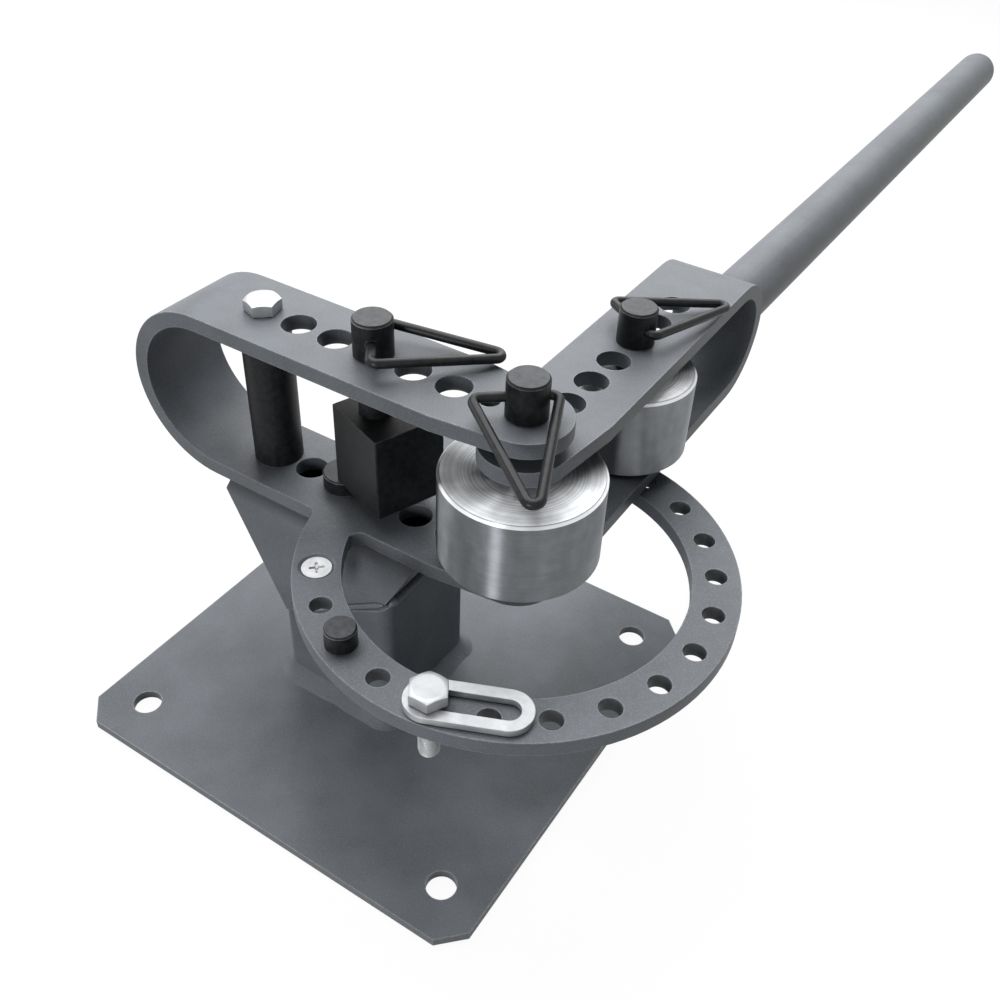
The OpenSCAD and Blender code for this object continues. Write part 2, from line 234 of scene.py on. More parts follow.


# Powder coat over mild steel: cured polyester, sprayed dry and melted. It gives the eye an even
# satin grey with a fine orange peel and a few specks, with painted shade in the corners and a
# painted shadow under the lower strap, and a paler line on edges, partly where the coat thins and
# wears and partly a painted highlight.
def powder_coat(props):
    m = new_material("powder_coat_slate")
    place = add(m, "ShaderNodeTexCoord").outputs["Object"]
    # orange peel of about 1.4 mm from crest to crest
    peel = add(m, "ShaderNodeTexNoise", {"Vector": place}, in_Scale=1 / (1.4 * MM), in_Detail=2.0)
    # grit 0.7 mm from speck to speck, coarser than real so that it shows
    grit = add(m, "ShaderNodeTexNoise", {"Vector": place}, in_Scale=1 / (0.7 * MM), in_Detail=1.0)
    # soft clouds of 30 mm, from uneven spraying
    cloud = add(m, "ShaderNodeTexNoise", {"Vector": place}, in_Scale=1 / (30 * MM), in_Detail=3.0)
    tone = add(m, "ShaderNodeValToRGB", {0: cloud},
        stops=((0.35, props.coat_dark), (0.65, props.coat_light)))
    speck = add(m, "ShaderNodeMapRange", {0: grit}, in_1=0.45, in_2=0.75, in_3=0.0, in_4=0.22)
    specked = add(m, "ShaderNodeMix", {0: speck, 6: tone}, data_type="RGBA", in_7="#a4a8ad")
    # painted shade: darker in bores, gaps and corners within 13 mm, weaker on upper faces
    shaded_coat = add(m, "ShaderNodeMix", {0: painted_shade_mask(m, 13.0), 6: specked.outputs[2]},
        data_type="RGBA", in_7="#2c2e31")
    # painted shadow on the cheeks, darkest just under the lower strap and fading over 8 mm down
    fading = height_mask(m, LOW_Z - 8, LOW_Z - 1)
    below = height_mask(m, LOW_Z, LOW_Z - 0.1)
    seam = add(m, "ShaderNodeMath", {0: fading, 1: below}, operation="MULTIPLY")
    painted_shadow = add(m, "ShaderNodeMath", {0: seam}, operation="MULTIPLY", in_1=0.9)
    shadowed_coat = add(m, "ShaderNodeMix", {0: painted_shadow, 6: shaded_coat.outputs[2]}, data_type="RGBA", in_7="#33363a")
    # edges paler in patches: partly worn coat, partly a painted highlight
    patchy = add(m, "ShaderNodeMapRange", {0: peel}, in_1=0.25, in_2=0.6, in_3=0.25, in_4=0.95)
    edge_wear_and_highlight = add(m, "ShaderNodeMath", {0: edge_mask(m, 1.0), 1: patchy}, operation="MULTIPLY")
    worn = add(m, "ShaderNodeMix", {0: edge_wear_and_highlight, 6: shadowed_coat.outputs[2]}, data_type="RGBA", in_7="#b4b8bc")
    rough = add(m, "ShaderNodeMapRange", {0: cloud},
        in_3=props.coat_roughness - 0.05, in_4=props.coat_roughness + 0.07)
    height = add(m, "ShaderNodeMix", {2: peel, 3: grit}, data_type="FLOAT", in_0=0.45)
    bump = add(m, "ShaderNodeBump", {"Height": height}, in_Strength=0.5, in_Distance=0.09 * MM)
    shader = add(m, "ShaderNodeBsdfPrincipled",
        {"Base Color": worn.outputs[2], "Roughness": rough, "Normal": bump}, in_IOR=1.35)
    add(m, "ShaderNodeOutputMaterial", {0: shader})
    return m


# Black oxide on turned steel and on wire: a thin oiled conversion layer. It gives a near-black
# metal with a soft sheen and faint tool marks, and bare rims where it is worn. On the pins and the
# block's rest the upper faces are painted greyer, partly wear and partly a painted sheen from the
# light above. The wire is drawn smooth, so it is glossier.
def black_oxide(props, name):
    wear_and_sheen_top, index, least_rough = BLACKS[name]
    m = new_material(name)
    place = add(m, "ShaderNodeTexCoord").outputs["Object"]
    # tool marks 0.5 mm apart and about 17 mm long, level round the side
    level = add(m, "ShaderNodeMapping", {"Vector": place}, in_Scale=(60, 60, 1 / (0.5 * MM)))
    marks = add(m, "ShaderNodeTexNoise", {"Vector": level}, in_Scale=1.0, in_Detail=2.0)
    # mottling of 3 mm, from the bath and handling
    cloud = add(m, "ShaderNodeTexNoise", {"Vector": place}, in_Scale=1 / (3 * MM), in_Detail=5.0)
    tone = add(m, "ShaderNodeValToRGB", {0: cloud},
        stops=((0.35, props.oxide_colour), (0.75, "#26272a")))
    edge = add(m, "ShaderNodeMath", {0: edge_mask(m, 0.6), 1: cloud}, operation="MULTIPLY")
    worn = add(m, "ShaderNodeMix", {0: edge, 6: tone}, data_type="RGBA", in_7="#a9aaac")
    if wear_and_sheen_top:
        # upper faces painted greyer in patches: partly wear, partly a painted sheen from the light
        # above
        top = add(m, "ShaderNodeMath", {0: facing_up(m, 0.8, 0.98), 1: cloud}, operation="MULTIPLY")
        worn = add(m, "ShaderNodeMix", {0: top, 6: worn.outputs[2]}, data_type="RGBA", in_7="#5c5e62")
    rough = add(m, "ShaderNodeMapRange", {0: cloud}, in_3=least_rough, in_4=least_rough + 0.18)
    bump = add(m, "ShaderNodeBump", {"Height": marks}, in_Strength=0.3, in_Distance=0.04 * MM)
    shader = add(m, "ShaderNodeBsdfPrincipled",
        {"Base Color": worn.outputs[2], "Roughness": rough, "Normal": bump},
        in_Metallic=0.1, in_IOR=index)
    add(m, "ShaderNodeOutputMaterial", {0: shader})
    return m


# Zinc plating, clear passivated: electroplated on cold-headed steel, barrel finished. It gives a
# pale, slightly blue metal with a dull uneven gloss and fine pitting.
def zinc_plate(name, dark, light):
    m = new_material(name)
    place = add(m, "ShaderNodeTexCoord").outputs["Object"]
    # pits 0.6 mm apart, coarser than real so that they show, and dull patches of 5 mm
    pits = add(m, "ShaderNodeTexNoise", {"Vector": place}, in_Scale=1 / (0.6 * MM), in_Detail=3.0)
    cloud = add(m, "ShaderNodeTexNoise", {"Vector": place}, in_Scale=1 / (5 * MM), in_Detail=3.0)
    tone = add(m, "ShaderNodeValToRGB", {0: cloud}, stops=((0.3, dark), (0.7, light)))
    rough = add(m, "ShaderNodeMapRange", {0: cloud}, in_3=0.4, in_4=0.5)
    bump = add(m, "ShaderNodeBump", {"Height": pits}, in_Strength=0.35, in_Distance=0.05 * MM)
    shader = add(m, "ShaderNodeBsdfPrincipled",
        {"Base Color": tone, "Roughness": rough, "Normal": bump}, in_Metallic=0.55)
    add(m, "ShaderNodeOutputMaterial", {0: shader})
    return m


# Turned bare steel: faced and turned on a lathe, left bright. It gives rings about the axis on
# the ends, fine level lines round the side with soft upright bands, and bright cut corners.
def turned_steel(name, centre, outer, props):
    m = new_material(name)
    place = add(m, "ShaderNodeTexCoord").outputs["Object"]
    local = add(m, "ShaderNodeVectorMath", {0: place}, operation="SUBTRACT", in_1=centre)
    split = add(m, "ShaderNodeSeparateXYZ", {0: local})
    x, y, z = split.outputs
    flat = add(m, "ShaderNodeCombineXYZ", {0: x, 1: y})
    radius = add(m, "ShaderNodeVectorMath", {0: flat}, operation="LENGTH").outputs["Value"]
    turn = add(m, "ShaderNodeMath", {0: y, 1: x}, operation="ARCTAN2")
    # feed marks 0.6 mm apart with coarser ones of 1 mm, drawn coarser than real so that they show
    feed = add(m, "ShaderNodeCombineXYZ", {0: radius, 1: z})
    fine = add(m, "ShaderNodeTexNoise", {"Vector": feed}, in_Scale=1 / (0.6 * MM), in_Detail=2.0)
    broad = add(m, "ShaderNodeTexNoise", {"Vector": feed}, in_Scale=1 / (1.0 * MM), in_Detail=2.0)
    # upright bands about 12 mm wide on the side, from chatter and rolling stock, and rubs of 7 mm
    around = add(m, "ShaderNodeCombineXYZ", {0: turn, 1: z})
    banded = add(m, "ShaderNodeMapping", {"Vector": around}, in_Scale=(3.2, 18, 1))
    band = add(m, "ShaderNodeTexNoise", {"Vector": banded}, in_Scale=1.0, in_Detail=4.0)
    rub = add(m, "ShaderNodeTexNoise", {"Vector": place}, in_Scale=1 / (7 * MM), in_Detail=5.0)
    worked = add(m, "ShaderNodeMix", {2: band, 3: rub}, data_type="FLOAT", in_0=0.4)
    side = add(m, "ShaderNodeValToRGB", {0: worked},
        stops=((0.32, "#707377"), (0.5, props.steel_side), (0.66, "#8c8f92")))
    end = add(m, "ShaderNodeValToRGB", {0: rub}, stops=((0.3, "#c6c8cb"), (0.7, props.steel_end)))
    # the ends are painted much lighter than the side: partly their finer facing, partly painted light
    # falling from above
    on_end = facing_up(m, 0.9, 0.98)
    tone = add(m, "ShaderNodeMix", {0: on_end, 6: side, 7: end}, data_type="RGBA")
    lines = add(m, "ShaderNodeMapRange", {0: fine}, in_1=0.35, in_2=0.65, in_3=0.0, in_4=0.22)
    lined = add(m, "ShaderNodeMix", {0: lines, 6: tone.outputs[2]}, data_type="RGBA", in_7="#5d6064")
    rings = add(m, "ShaderNodeMapRange", {0: broad}, in_1=0.38, in_2=0.62, in_3=0.0, in_4=0.45)
    grooves = add(m, "ShaderNodeMath", {0: rings, 1: on_end}, operation="MULTIPLY")
    cut = add(m, "ShaderNodeMix", {0: grooves, 6: lined.outputs[2]}, data_type="RGBA", in_7="#75787c")
    # the broken corner: it leans between side and end, within about a millimetre of the rim
    above_side, below_end = facing_up(m, 0.04, 0.1), facing_up(m, 0.97, 0.9)
    corner = add(m, "ShaderNodeMath", {0: above_side, 1: below_end}, operation="MULTIPLY")
    rim = add(m, "ShaderNodeMapRange", {0: radius}, in_1=outer - 1.3 * MM, in_2=outer - 0.9 * MM)
    rimmed = add(m, "ShaderNodeMath", {0: corner, 1: rim}, operation="MULTIPLY")
    bright = add(m, "ShaderNodeMix", {0: rimmed, 6: cut.outputs[2]}, data_type="RGBA", in_7="#d4d6d8")
    rough = add(m, "ShaderNodeMapRange", {0: worked}, in_3=0.38, in_4=0.46)
    height = add(m, "ShaderNodeMix", {2: fine, 3: broad}, data_type="FLOAT", in_0=0.4)
    bump = add(m, "ShaderNodeBump", {"Height": height}, in_Strength=0.5, in_Distance=0.07 * MM)
    # the feed marks spread a gleam across themselves, so it runs upright on the side and outward
    # on the ends
    grain = add(m, "ShaderNodeTangent", direction_type="RADIAL", axis="Z")
    shader = add(m, "ShaderNodeBsdfPrincipled",
        {"Base Color": bright.outputs[2], "Roughness": rough, "Normal": bump, "Tangent": grain},
        in_Metallic=1.0, in_Anisotropic=1.0, in_Anisotropic_Rotation=0.25)
    add(m, "ShaderNodeOutputMaterial", {0: shader})
    return m


# Matt studio floor: pale card. It glows where it is seen and keeps the object's soft shadow.
def pale_card(name):
    m = new_material(name)
    paint = add(m, "ShaderNodeBsdfDiffuse", in_Color="#525252")
    strength = add(m, "ShaderNodeMath", {0: seen_directly(m)}, operation="MULTIPLY", in_1=FLOOR_GLOW)
    glow = add(m, "ShaderNodeEmission", {"Strength": strength}, in_Color="#ffffff")
    both = add(m, "ShaderNodeAddShader", {0: paint, 1: glow})
    add(m, "ShaderNodeOutputMaterial", {0: both})
    return m


def seen_directly(owner):
    """One for rays from the camera, from a reflection or through glass, nought for lighting."""
    path = add(owner, "ShaderNodeLightPath").outputs
    shiny = add(owner, "ShaderNodeMath", {0: path["Is Glossy Ray"], 1: path["Is Transmission Ray"]},
        operation="MAXIMUM")
    return add(owner, "ShaderNodeMath", {0: path["Is Camera Ray"], 1: shiny}, operation="MAXIMUM")


# Shapes


def dress(node, material, edge):
    """Puts a material on a CAD node and breaks its sharp edges; its own mesh keeps its shape."""
    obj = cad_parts[node]
    obj.data.materials.clear()
    obj.data.materials.append(material)
    for poly in obj.data.polygons:
        poly.use_smooth = True
    weld = obj.modifiers.new("weld", "WELD")
    weld.merge_threshold = 0.005 * MM
    flat = obj.modifiers.new("flat_faces", "DECIMATE")
    flat.decimate_type = "DISSOLVE"
    flat.angle_limit = math.radians(0.5)
    bevel = obj.modifiers.new("broken_edge", "BEVEL")
    bevel.width = edge
    bevel.segments = 2
    bevel.limit_method = "ANGLE"
    bevel.angle_limit = math.radians(32)
    bevel.use_clamp_overlap = True
    even = obj.modifiers.new("even_shading", "WEIGHTED_NORMAL")
    even.mode = "FACE_AREA"
    even.weight = 60
    even.keep_sharp = True


def piece(name, mesh, material, body):
    """A new object from a mesh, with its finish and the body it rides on."""
    mesh.materials.append(material)
    obj = bpy.data.objects.new(name, mesh)
    bpy.context.scene.collection.objects.link(obj)
    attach(obj, body)
    return obj


def grid_mesh(name, rings, closed_run, cap=False):
    """Quads between rings of points, each ring closed; the run of rings may close too."""
    sides = len(rings[0])
    points = [p for ring in rings for p in ring]
    faces = []
    for i in range(len(rings) if closed_run else len(rings) - 1):
        j = (i + 1) % len(rings)
        for k in range(sides):
            n = (k + 1) % sides
            faces.append((i * sides + k, i * sides + n, j * sides + n, j * sides + k))
    if cap:
        faces.append(tuple(reversed(range(sides))))
        faces.append(tuple(range((len(rings) - 1) * sides, len(rings) * sides)))
    mesh = bpy.data.meshes.new(name)
    mesh.from_pydata([Vector(p) for p in points], [], faces)
    mesh.validate()
    shape = bmesh.new()
    shape.from_mesh(mesh)
    bmesh.ops.recalc_face_normals(shape, faces=shape.faces)
    for edge in shape.edges:
        edge.smooth = not (edge.is_manifold and edge.calc_face_angle(0) > math.radians(34))
    for face in shape.faces:
        face.smooth = True
    shape.to_mesh(mesh)
    shape.free()
    return mesh


def sweep(path, radius_at, sides, closed):
    """Rings of points round a path in space, with radius_at(distance) as their radius."""
    count = len(path)
    rings, gone, up = [], 0.0, None
    for i, p in enumerate(path):
        before = path[i - 1] if i or closed else path[0]
        after = path[(i + 1) % count] if i < count - 1 or closed else path[-1]
        along = (after - before).normalized()
        if up is None:
            up = along.orthogonal().normalized()
        up = (up - along * up.dot(along)).normalized()
        across = along.cross(up)
        r = radius_at(gone)
        rings.append([p + (up * math.cos(a) + across * math.sin(a)) * r
            for a in (2 * math.pi * k / sides for k in range(sides))])
        gone += (after - p).length
    return rings


def weld_bead(name, path, radius_mm, closed, body, material):
    """Weld bead under the coat: a round run of metal with ripples, tapered at open ends."""
    radius = radius_mm * MM
    length = sum((q - p).length for p, q in zip(path, path[1:]))
    end_share, end_run = 0.3, 5.0 * MM

    def swell(distance):
        phase = distance / (RIPPLE * MM) % 1.0
        taper = 1.0 if closed else min(1.0, end_share + min(distance, length - distance) / end_run)
        return radius * (0.93 + 0.09 * phase) * taper

    fine = [path[0]]
    targets = path[1:] + path[:1] if closed else path[1:]
    for p, q in zip(path, targets):
        steps = max(1, round((q - p).length / (BEAD_STEP * MM)))
        fine += [p.lerp(q, k / steps) for k in range(1, steps + 1)]
    if closed:
        fine.pop()
    mesh = grid_mesh(name, sweep(fine, swell, 12, closed), closed, not closed)
    return piece(name, mesh, material, body)


def clip_path(width, length, bend):
    """Middle line of a clip in its own plane: three bends joined by straight wire."""
    bend_steps, wire_steps = 14, 8
    half = width / 2
    lean = math.atan2(length, half)
    cut = bend * math.tan((math.pi - lean) / 2)
    # each bend: its centre, first angle and sweep
    bends = (
        (half - cut, -bend, lean - math.pi / 2, math.pi - lean),
        (cut - half, -bend, math.pi / 2, math.pi - lean),
        (0.0, bend / math.cos(lean) - length, 1.5 * math.pi - lean, 2 * lean),
    )
    arcs = []
    for x, y, first, turn in bends:
        angles = [first + turn * k / bend_steps for k in range(bend_steps + 1)]
        arcs.append([(x + bend * math.cos(a), y + bend * math.sin(a)) for a in angles])
    path = []
    for i, arc in enumerate(arcs):
        path += arc
        (x0, y0), (x1, y1) = arc[-1], arcs[(i + 1) % 3][0]
        shares = [k / wire_steps for k in range(1, wire_steps)]
        path += [(x0 + (x1 - x0) * s, y0 + (y1 - y0) * s) for s in shares]
    return path


def wire_clip(name, props, material):
    """Round wire clip in its cross hole, lying as the frame's plain one does."""
    turn, slide, dip, hole = CLIPS[name]
    lay = (Matrix.Translation(Vector(hole) * MM) @ Matrix.Rotation(math.radians(turn), 4, "Z")
        @ Matrix.Rotation(math.radians(dip), 4, "X"))
    flat = clip_path(props.clip_width, props.clip_length, props.clip_bend)
    path = [lay @ Vector((x + slide * MM, y, 0.0)) for x, y in flat]
    rings = sweep(path, lambda _: props.wire_diameter / 2, 24, True)
    mesh = grid_mesh(f"{name}_wire", rings, True)
    obj = piece(f"{name}_wire", mesh, material, name)
    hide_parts(name)


def hex_bolt(name, place, turn, length, material, node):
    """Hex head bolt: chamfered head, washer face, plain neck and a cut thread."""
    steps, rows_per_turn = 72, 8
    thread_depth, worn_start, worn_by = 0.92, 1.6, 1.1
    shank_r, washer_r = THREAD_D / 2, HEX_FLATS / 2 * 0.94
    washer_t, chamfer, dish = 0.35, 0.5, 0.12
    crown_r = HEX_FLATS / 2 - 0.5
    angles = [2 * math.pi * k / steps for k in range(steps)]

    def hexagon(a):
        wedge = (math.degrees(a) + 30) % 60 - 30
        return HEX_FLATS / 2 / math.cos(math.radians(wedge))

    def thread(z, a):
        # a groove that is half as deep in its last turn, its crests worn down at the tip
        groove = abs(2 * ((z / THREAD_PITCH - a / (2 * math.pi)) % 1.0) - 1)
        depth = thread_depth * groove * (1 if z < -BOLT_NECK - THREAD_PITCH else 0.5)
        worn = (1 - min(1.0, (z + length) / worn_start)) * worn_by * (1 - groove)
        return shank_r - 0.02 - depth - worn

    def row(radius, z):
        return [(radius, a, z) for a in angles]

    rows = [row(shank_r - worn_start, -length)]
    count = int((length - BOLT_NECK) / THREAD_PITCH * rows_per_turn)
    for i in range(count + 1):
        z = -length + 0.3 + (length - BOLT_NECK - 0.6) * i / count
        rows.append([(thread(z, a), a, z) for a in angles])
    rows += [row(shank_r, -BOLT_NECK + 0.2), row(shank_r, 0.0)]
    rows += [row(washer_r, 0.0), row(washer_r, washer_t)]
    rows.append([(hexagon(a) - 0.1, a, washer_t + 0.05) for a in angles])
    rows.append([(hexagon(a), a, washer_t + 0.25) for a in angles])
    rows.append([(hexagon(a), a, HEX_HEAD - (hexagon(a) - crown_r) * chamfer) for a in angles])
    rows += [row(crown_r, HEX_HEAD), row(crown_r - 1.4, HEX_HEAD - dish), row(0.6, HEX_HEAD - dish)]
    lay = Matrix.Translation(Vector(place)) @ Matrix.Rotation(math.radians(turn), 4, "Z")
    rings = [[(lay @ Vector((r * math.cos(a), r * math.sin(a), z))) * MM for r, a, z in spots]
        for spots in rows]
    obj = piece(name, grid_mesh(name, rings, False, True), material, "frame")
    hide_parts(node)


# Settings, and each finish made once from them


class MetalBenderProps(bpy.types.PropertyGroup):
    """Sizes and colours of the looks."""

    coat_dark: bpy.props.FloatVectorProperty(name="Coat, dark",
        description="Darker tone of the powder coat",
        subtype="COLOR", size=4, min=0.0, max=1.0, default=linear("#62666b"))
    coat_light: bpy.props.FloatVectorProperty(name="Coat, light",
        description="Lighter tone of the powder coat",
        subtype="COLOR", size=4, min=0.0, max=1.0, default=linear("#70757b"))
    coat_roughness: bpy.props.FloatProperty(name="Coat roughness",
        description="Roughness of the powder coat",
        subtype="FACTOR", default=0.44, min=0.1, max=0.9)
    oxide_colour: bpy.props.FloatVectorProperty(name="Black oxide",
        description="Darker tone of the black oxide",
        subtype="COLOR", size=4, min=0.0, max=1.0, default=linear("#101112"))
    zinc_colour: bpy.props.FloatVectorProperty(name="Zinc",
        description="Lighter tone of the zinc plating",
        subtype="COLOR", size=4, min=0.0, max=1.0, default=linear("#b8babc"))
    # lighter tone of the screw's zinc: painted light on the same plating
    screw_colour: bpy.props.FloatVectorProperty(name="Screw",
        description="Lighter tone of the countersunk screw",
        subtype="COLOR", size=4, min=0.0, max=1.0, default=linear("#e2e3e5"))
    steel_side: bpy.props.FloatVectorProperty(name="Turned side",
        description="Middle tone of the dies' sides",
        subtype="COLOR", size=4, min=0.0, max=1.0, default=linear("#7e8184"))
    steel_end: bpy.props.FloatVectorProperty(name="Faced end",
        description="Lighter tone of the dies' ends",
        subtype="COLOR", size=4, min=0.0, max=1.0, default=linear("#e2e4e6"))
    painted_edge: bpy.props.FloatProperty(name="Painted edge",
        description="Rounding of painted edges",
        unit="LENGTH", default=0.7 * MM, min=0.1 * MM, max=1.5 * MM)
    machined_edge: bpy.props.FloatProperty(name="Machined edge",
        description="Rounding of machined edges",
        unit="LENGTH", default=0.3 * MM, min=0.1 * MM, max=1.0 * MM)
    wire_diameter: bpy.props.FloatProperty(name="Clip wire",
        description="Diameter of the clip wire",
        unit="LENGTH", default=4.6 * MM, min=4.0 * MM, max=4.7 * MM)
    clip_width: bpy.props.FloatProperty(name="Clip width",
        description="Width of a clip at the pin",
        unit="LENGTH", default=38.0 * MM, min=37.5 * MM, max=40.0 * MM)
    clip_length: bpy.props.FloatProperty(name="Clip length",
        description="Length of a clip, to its sharp tip",
        unit="LENGTH", default=66.0 * MM, min=62.0 * MM, max=68.0 * MM)
    clip_bend: bpy.props.FloatProperty(name="Clip bend",
        description="Bend radius of the clip wire",
        unit="LENGTH", default=3.2 * MM, min=2.6 * MM, max=4.0 * MM)
    lens: bpy.props.FloatProperty(name="Lens",
        description="Focal length of the camera",
        unit="CAMERA", default=39.12, min=20.0, max=100.0)
    lamp_level: bpy.props.FloatProperty(name="Lamp level",
        description="Power of all lamps as a share of their own",
        subtype="FACTOR", default=1.0, min=0.0, max=4.0)
    sky: bpy.props.FloatProperty(name="Sky",
        description="Strength of the soft light all round",
        subtype="FACTOR", default=0.03, min=0.0, max=1.0)


def props_of(context):
    return context.scene.metal_bender


def material_once(name, make):
    return bpy.data.materials.get(name) or make()


def coat(context):
    return material_once("powder_coat_slate", lambda: powder_coat(props_of(context)))


def black(context, name):
    return material_once(name, lambda: black_oxide(props_of(context), name))


def zinc(context):
    name, light = "zinc_plated_steel", props_of(context).zinc_colour
    return material_once(name, lambda: zinc_plate(name, "#a5a7aa", light))


# painted light: a lighter copy of the same zinc, as the flat screw head renders darker than the other
# zinc parts
def screw_painted_light_zinc(context):
    name, light = "zinc_screw_painted_lighter", props_of(context).screw_colour
    return material_once(name, lambda: zinc_plate(name, "#cdcfd1", light))


# One operator for each piece or group of like pieces


class METALBENDER_OT_stage(bpy.types.Operator):
    """Floor, backdrop, lights and the camera at the photograph's angle"""

    bl_idname = "metalbender.stage"
    bl_label = "Stage and camera"

    def execute(self, context):
        props = props_of(context)
        scene = context.scene
        scene.view_settings.view_transform = "Standard"
        self.camera(scene, props.lens)
        self.floor(scene)
        self.backdrop(scene, props.sky)
        for name, (place, width, height, power) in LAMPS.items():
            self.lamp(scene, name, place, width, height, power * props.lamp_level)
        return {"FINISHED"}

    def camera(self, scene, lens):
        cam = bpy.data.objects.new("camera", bpy.data.cameras.new("camera"))
        scene.collection.objects.link(cam)
        cam.data.sensor_width = 36.0
        cam.data.lens = lens
        cam.data.clip_start, cam.data.clip_end = 0.02, 20.0
        az, dip, roll = (math.radians(v) for v in (CAMERA_AZIMUTH, CAMERA_DIP, CAMERA_ROLL))
        ahead = Vector((math.sin(az) * math.cos(dip), math.cos(az) * math.cos(dip), -math.sin(dip)))
        level = Vector((math.cos(az), -math.sin(az), 0.0))
        rise = level.cross(ahead)
        right = level * math.cos(roll) + rise * math.sin(roll)
        up = rise * math.cos(roll) - level * math.sin(roll)
        lay = Matrix((right, up, -ahead)).transposed().to_4x4()
        lay.translation = CAMERA_PLACE
        cam.matrix_world = lay
        scene.camera = cam

    def floor(self, scene):
        mesh = bpy.data.meshes.new("floor")
        h, z = FLOOR_SIZE / 2, FLOOR_Z
        mesh.from_pydata([(-h, -h, z), (h, -h, z), (h, h, z), (-h, h, z)], [], [(0, 1, 2, 3)])
        mesh.materials.append(pale_card("pale_floor"))
        floor = bpy.data.objects.new("floor", mesh)
        scene.collection.objects.link(floor)

    def backdrop(self, scene, strength):
        """White where it is seen, a faint even light where it only lights."""
        world = bpy.data.worlds.new("studio")
        scene.world = world
        world.use_nodes = True
        world.node_tree.nodes.clear()
        white = add(world, "ShaderNodeBackground", in_Color="#ffffff", in_Strength=1.0)
        soft = add(world, "ShaderNodeBackground", in_Color="#f0f4fb", in_Strength=strength)
        both = add(world, "ShaderNodeMixShader", {0: seen_directly(world), 1: soft, 2: white})
        add(world, "ShaderNodeOutputWorld", {0: both})

    def lamp(self, scene, name, place, width, height, power):
        light = bpy.data.lights.new(name, "AREA")
        light.shape = "RECTANGLE"
        light.size, light.size_y = width, height
        light.energy = power
        obj = bpy.data.objects.new(name, light)
        obj.location = place
        obj.rotation_euler = (LAMP_TARGET - Vector(place)).to_track_quat("-Z", "Y").to_euler()
        obj.visible_camera = False
        scene.collection.objects.link(obj)


class METALBENDER_OT_stand(bpy.types.Operator):
    """Base plate, post, saddle and fixed bow with the index ring, powder coated"""

    bl_idname = "metalbender.stand"
    bl_label = "Stand and fixed bow"

    def execute(self, context):
        for node in PAINTED_STAND:
            dress(node, coat(context), props_of(context).painted_edge)
        return {"FINISHED"}


class METALBENDER_OT_arm(bpy.types.Operator):
    """Arm bow and handle tube, powder coated"""

    bl_idname = "metalbender.arm"
    bl_label = "Swinging arm"

    def execute(self, context):
        for node in PAINTED_ARM:
            dress(node, coat(context), props_of(context).painted_edge)
        return {"FINISHED"}


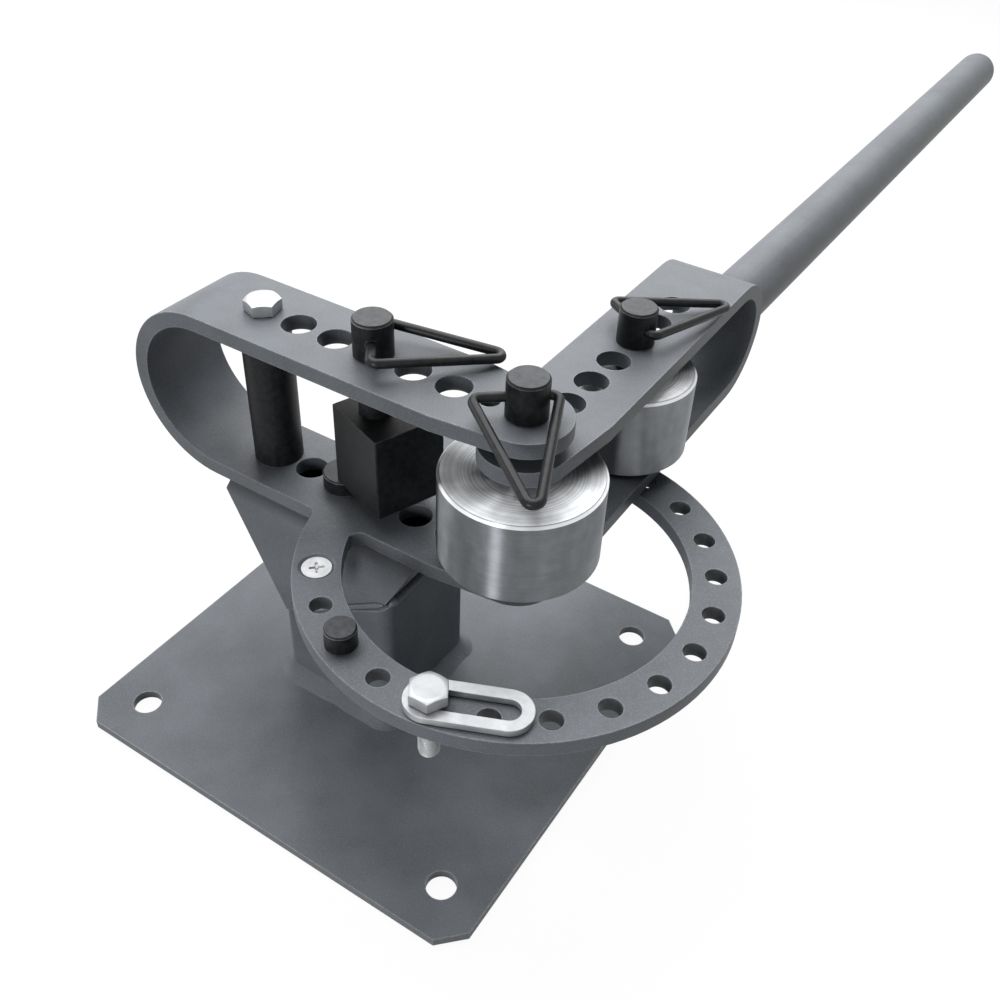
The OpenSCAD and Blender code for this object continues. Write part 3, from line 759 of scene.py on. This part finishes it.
class METALBENDER_OT_welds(bpy.types.Operator):
    """Weld beads under the coat: post foot, saddle and handle"""

    bl_idname = "metalbender.welds"
    bl_label = "Weld beads"

    def execute(self, context):
        material = coat(context)
        self.foot_fillet(material)
        for side, word in ((-1, "front"), (1, "back")):
            line = self.cheek_seam(side)
            weld_bead(f"weld_cheek_{word}", line, CHEEK_BEAD, False, "frame", material)
        weld_bead("weld_saddle_end", self.saddle_seam(), SADDLE_BEAD, False, "frame", material)
        weld_bead("weld_handle", self.handle_seam(), HANDLE_BEAD, True, "arm", material)
        return {"FINISHED"}

    def foot_fillet(self, material):
        """Concave weld all round the post's foot, a little uneven along its length."""
        flat = POST_HALF - POST_CORNER
        corner_steps, flat_steps = 8, round(2 * flat / BEAD_STEP)
        # places on the post's outline with their outward directions, corner by corner
        spots = []
        for quarter, (cx, cy) in enumerate(((1, 1), (-1, 1), (-1, -1), (1, -1))):
            middle = Vector((POST_MID + cx * flat, cy * flat, PLATE_T))
            for k in range(corner_steps + 1):
                a = math.radians(90 * (quarter + k / corner_steps))
                out = Vector((math.cos(a), math.sin(a), 0))
                spots.append((middle + out * POST_CORNER, out))
            end, out = spots[-1]
            along = Vector((-out.y, out.x, 0))
            spots += [(end + along * 2 * flat * k / flat_steps, out) for k in range(1, flat_steps)]
        rings, gone = [], 0.0
        for i, (p, out) in enumerate(spots):
            gone += (spots[i - 1][0] - p).length if i else 0.0
            # slow and quick waves of the hand, and the ripples
            waves = 0.35 * math.sin(gone / 7.3) + 0.2 * math.sin(gone / 2.9 + 1.0)
            leg = FOOT_LEG + waves + 0.12 * (gone / RIPPLE % 1.0)
            rings.append([(p + out * u + Vector((0, 0, v))) * MM for u, v in self.foot_section(leg)])
        piece("weld_post_foot", grid_mesh("weld_post_foot", rings, True), material, "frame")

    def foot_section(self, leg):
        """Outline of the foot's weld from the post: between a hollow arc and a flat face."""
        steps, hollow, sunk, run_under = 10, 0.45, 0.6, 1.5
        section = [(leg + run_under, -sunk)]
        for k in range(steps + 1):
            t = k / steps
            a = math.pi / 2 * t
            u = 1 - hollow * math.sin(a) - (1 - hollow) * t
            v = 1 - hollow * math.cos(a) - (1 - hollow) * (1 - t)
            section.append((leg * u, leg * v))
        return section + [(-sunk, leg + run_under), (-sunk, -sunk)]

    def cheek_seam(self, side):
        """Line in the corner under a cheek's lower edge, in metres."""
        (x0, z0), (x1, z1) = SADDLE_FOOT
        line = []
        # x along the edge, and how far the bead strays up from it there
        for x, lift in ((x0 + 3, -0.5), (-25.0, 0.0), (x1 - 1, 0.6)):
            z = z0 + (z1 - z0) * (x - x0) / (x1 - x0)
            y = min(STRAP_HALF + CHEEK_LEAN * (LOW_Z - z), POST_HALF) + 0.3
            line.append(Vector((x, side * y, z + lift)) * MM)
        return line

    def saddle_seam(self):
        """Level line across the post below the leaning end plate, in metres."""
        x, z = SADDLE_FOOT[1]
        return [Vector((x + 3.0, y, z + 1.6)) * MM for y in (-30.5, 30.5)]

    def handle_seam(self):
        """Closed path where the handle meets the round of the arm bow, in metres."""
        steps, proud = 48, 0.3
        tilt = math.radians(HANDLE_TILT)
        along = Vector((0, math.cos(tilt), -math.sin(tilt)))
        lift = Vector((0, math.sin(tilt), math.cos(tilt)))
        start = Vector((PIVOT_X, ARM_BEND_Y + ARM_BEND_R, ARM_BEND_Z - HANDLE_DROP))
        path = []
        for k in range(steps):
            a = 2 * math.pi * k / steps
            p = start + (Vector((1, 0, 0)) * math.cos(a) + lift * math.sin(a)) * (HANDLE_R + proud)
            # walk along the handle to the bend's surface
            y, z = p.y - ARM_BEND_Y, p.z - ARM_BEND_Z
            half = y * along.y + z * along.z
            run = -half + math.sqrt(half * half - (y * y + z * z - (ARM_BEND_R + proud) ** 2))
            path.append((p + along * run) * MM)
        return path


class METALBENDER_OT_pins(bpy.types.Operator):
    """Pull pins, stops and the spacer post in black oxide"""

    bl_idname = "metalbender.pins"
    bl_label = "Pins, stops and spacer"

    def execute(self, context):
        for node, finish in TURNED_BLACK.items():
            dress(node, black(context, finish), props_of(context).machined_edge)
        return {"FINISHED"}


class METALBENDER_OT_clips(bpy.types.Operator):
    """Wire clips in the pins' cross holes, in place of the plain wire of the frame"""

    bl_idname = "metalbender.clips"
    bl_label = "Wire clips"

    def execute(self, context):
        for name in CLIPS:
            wire_clip(name, props_of(context), black(context, "black_oxide_wire"))
        return {"FINISHED"}


class METALBENDER_OT_block(bpy.types.Operator):
    """Square block in black oxide"""

    bl_idname = "metalbender.block"
    bl_label = "Square block"

    def execute(self, context):
        dress("square_block", black(context, "black_oxide_steel"), props_of(context).machined_edge)
        return {"FINISHED"}


class METALBENDER_OT_dies(bpy.types.Operator):
    """Centre die and roller die in turned steel"""

    bl_idname = "metalbender.dies"
    bl_label = "Round dies"

    def execute(self, context):
        props = props_of(context)
        for node in DIES:
            low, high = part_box(node)
            outer = (high.x - low.x) / 2
            material = turned_steel(f"turned_steel_{node}", (low + high) / 2, outer, props)
            dress(node, material, props.machined_edge)
        return {"FINISHED"}


class METALBENDER_OT_fasteners(bpy.types.Operator):
    """Hex bolts, countersunk screw and slotted link in zinc"""

    bl_idname = "metalbender.fasteners"
    bl_label = "Bolts, screw and link"

    def execute(self, context):
        edge = props_of(context).machined_edge
        # the screw's lighter zinc is painted light
        dress("ring_screw", screw_painted_light_zinc(context), edge)
        dress("slotted_link", zinc(context), edge)
        a = math.radians(BOLT_ANGLE)
        place = (PIVOT_X + RING_ROW * math.cos(a), RING_ROW * math.sin(a), LINK_BOLT_Z)
        hex_bolt("link_hex_bolt", place, BOLT_ANGLE - 8, 35.0, zinc(context), "link_bolt")
        place = (SPACER_X, 0, TOP_Z)
        hex_bolt("spacer_hex_bolt", place, 12, 36.0, zinc(context), "spacer_bolt")
        return {"FINISHED"}


OPERATORS = (
    METALBENDER_OT_stage,
    METALBENDER_OT_stand,
    METALBENDER_OT_arm,
    METALBENDER_OT_welds,
    METALBENDER_OT_pins,
    METALBENDER_OT_clips,
    METALBENDER_OT_block,
    METALBENDER_OT_dies,
    METALBENDER_OT_fasteners,
)


class METALBENDER_PT_panel(bpy.types.Panel):
    """Lists the pieces and their sizes"""

    bl_label = "Metal bender"
    bl_idname = "METALBENDER_PT_panel"
    bl_space_type = "VIEW_3D"
    bl_region_type = "UI"
    bl_category = "Metal bender"

    def draw(self, context):
        for operator in OPERATORS:
            self.layout.operator(operator.bl_idname)
        for name in MetalBenderProps.__annotations__:
            self.layout.prop(props_of(context), name)


CLASSES = (MetalBenderProps, *OPERATORS, METALBENDER_PT_panel)


def register():
    for cls in CLASSES:
        bpy.utils.register_class(cls)
    bpy.types.Scene.metal_bender = bpy.props.PointerProperty(type=MetalBenderProps)


def unregister():
    del bpy.types.Scene.metal_bender
    for cls in reversed(CLASSES):
        bpy.utils.unregister_class(cls)


def main():
    register()
    steps = bpy.ops.metalbender
    steps.stage()
    steps.stand()
    steps.arm()
    steps.welds()
    steps.pins()
    steps.clips()
    steps.block()
    steps.dies()
    steps.fasteners()


if __name__ == "__main__":
    main()
